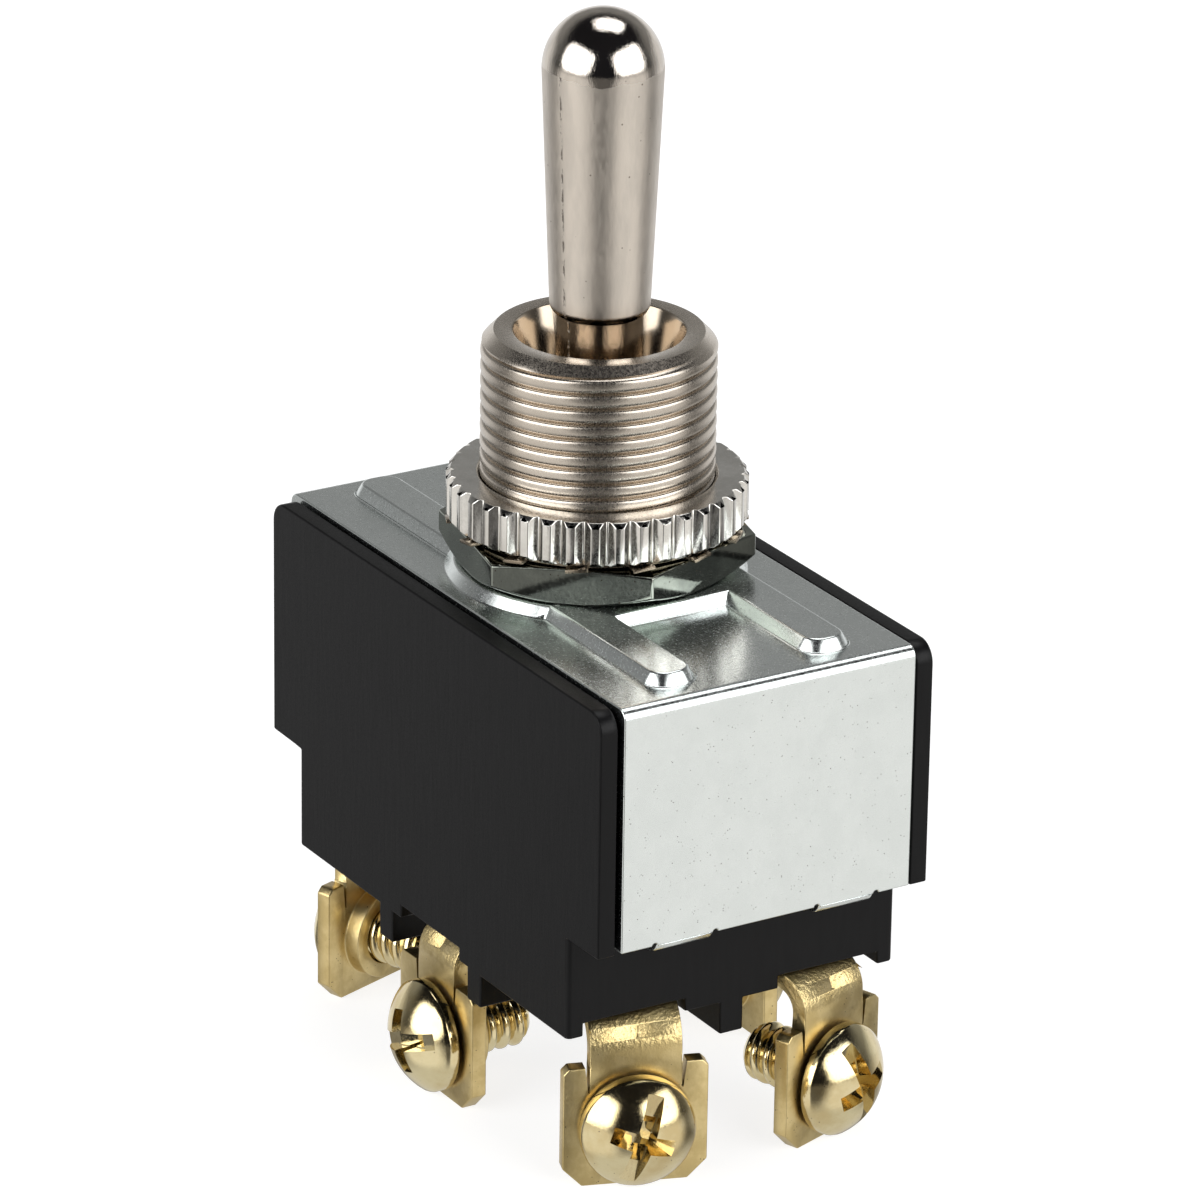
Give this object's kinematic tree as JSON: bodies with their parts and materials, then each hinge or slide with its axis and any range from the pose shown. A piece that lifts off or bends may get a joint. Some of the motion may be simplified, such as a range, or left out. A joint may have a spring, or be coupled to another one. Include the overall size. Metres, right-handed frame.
{
  "type": "panel toggle switch",
  "caption": "Panel toggle switch with a bat lever, a threaded bushing with a hex nut and a knurled nut, a folded steel frame on a moulded case and screw terminals below.",
  "frame": {"origin": "under the bushing's axis, in the plane of the six terminals' lower edges", "axes": "+Z along the bushing towards the lever's tip; +X along the case's long side, the way the lever tilts; +Y across it"},
  "size_m": [0.0336, 0.0228, 0.0566],
  "materials": {
    "case_plastic": "black moulded phenolic, faintly grained",
    "frame_zinc": "bright zinc plate on folded steel sheet",
    "bushing_nickel": "satin nickel plate with a turned thread",
    "nut_nickel": "bright nickel plate",
    "washer_brass": "plain sheet",
    "lever_nickel": "satin nickel shank with a polished end",
    "pin_steel": "plain",
    "actuator_plastic": "brown moulded phenolic",
    "plunger_plastic": "plain",
    "spring_steel": "plain wire",
    "contact_metal": "copper alloy, plain",
    "terminal_brass": "satin, rough at its cut edges",
    "screw_brass": "bright, pale gold"
  },
  "bodies": {
    "base": {"case": "case_plastic", "frame": "frame_zinc", "bushing": "bushing_nickel", "lock_washer": "washer_brass", "pivot_pin": "pin_steel", "rocker_seat_left": "contact_metal", "rocker_seat_right": "contact_metal", "fixed_contact_front_left": "contact_metal", "fixed_contact_front_right": "contact_metal", "fixed_contact_rear_left": "contact_metal", "fixed_contact_rear_right": "contact_metal", "terminal_front_left": "terminal_brass", "terminal_front_right": "terminal_brass", "terminal_rear_left": "terminal_brass", "terminal_rear_right": "terminal_brass", "terminal_side_left": "terminal_brass", "terminal_side_right": "terminal_brass"},
    "hex_nut": {"hex_nut": "nut_nickel"},
    "knurled_nut": {"knurled_nut": "nut_nickel"},
    "lever": {"lever": "lever_nickel", "actuator": "actuator_plastic", "plunger_spring_left": "spring_steel", "plunger_spring_right": "spring_steel"},
    "plunger_left": {"plunger_left": "plunger_plastic"},
    "plunger_right": {"plunger_right": "plunger_plastic"},
    "rocker_left": {"rocker_left": "contact_metal"},
    "rocker_right": {"rocker_right": "contact_metal"},
    "screw_front_left": {"screw_front_left": "screw_brass"},
    "screw_front_right": {"screw_front_right": "screw_brass"},
    "screw_rear_left": {"screw_rear_left": "screw_brass"},
    "screw_rear_right": {"screw_rear_right": "screw_brass"},
    "screw_side_left": {"screw_side_left": "screw_brass"},
    "screw_side_right": {"screw_side_right": "screw_brass"}
  },
  "joints": [
    {"name": "lever_tilt", "type": "hinge", "parent": "base", "child": "lever", "pos_m": [0, 0, 0.03125], "axis": [0, 1, 0], "range_deg": [-13, 13]},
    {"name": "rocker_left_tilt", "type": "hinge", "parent": "base", "child": "rocker_left", "pos_m": [0, -0.0057, 0.01285], "axis": [0, 1, 0], "range_deg": [-6.1, 6.1]},
    {"name": "rocker_right_tilt", "type": "hinge", "parent": "base", "child": "rocker_right", "pos_m": [0, 0.0057, 0.01285], "axis": [0, 1, 0], "range_deg": [-6.1, 6.1]},
    {"name": "plunger_left_slide", "type": "slide", "parent": "lever", "child": "plunger_left", "axis": [0, 0, 1], "range_m": [0, 0.0005], "stiffness_N_per_m": 1500, "springref_m": -0.002, "deforming": ["plunger_spring_left"]},
    {"name": "plunger_right_slide", "type": "slide", "parent": "lever", "child": "plunger_right", "axis": [0, 0, 1], "range_m": [0, 0.0005], "stiffness_N_per_m": 1500, "springref_m": -0.002, "deforming": ["plunger_spring_right"]},
    {"name": "hex_nut_turn", "type": "hinge", "parent": "base", "child": "hex_nut", "pos_m": [0, 0, 0.02868], "axis": [0, 0, 1], "continuous": true},
    {"name": "knurled_nut_turn", "type": "hinge", "parent": "base", "child": "knurled_nut", "pos_m": [0, 0, 0.0313], "axis": [0, 0, 1], "continuous": true},
    {"name": "screw_front_left_turn", "type": "hinge", "parent": "base", "child": "screw_front_left", "pos_m": [0.01378, -0.0057, 0.00315], "axis": [0.9455, -0.3256, 0], "continuous": true},
    {"name": "screw_front_right_turn", "type": "hinge", "parent": "base", "child": "screw_front_right", "pos_m": [0.01378, 0.0057, 0.00315], "axis": [0.9455, 0.3256, 0], "continuous": true},
    {"name": "screw_rear_left_turn", "type": "hinge", "parent": "base", "child": "screw_rear_left", "pos_m": [-0.01307, -0.0057, 0.00315], "axis": [-0.9455, -0.3256, 0], "continuous": true},
    {"name": "screw_rear_right_turn", "type": "hinge", "parent": "base", "child": "screw_rear_right", "pos_m": [-0.01307, 0.0057, 0.00315], "axis": [-0.9455, 0.3256, 0], "continuous": true},
    {"name": "screw_side_left_turn", "type": "hinge", "parent": "base", "child": "screw_side_left", "pos_m": [0, -0.00877, 0.00315], "axis": [0, -1, 0], "continuous": true},
    {"name": "screw_side_right_turn", "type": "hinge", "parent": "base", "child": "screw_side_right", "pos_m": [0, 0.00877, 0.00315], "axis": [0, 1, 0], "continuous": true}
  ],
  "couplings": [
    {"joint": "rocker_left_tilt", "follows": "lever_tilt", "ratio": -0.455},
    {"joint": "rocker_right_tilt", "follows": "lever_tilt", "ratio": -0.455}
  ]
}
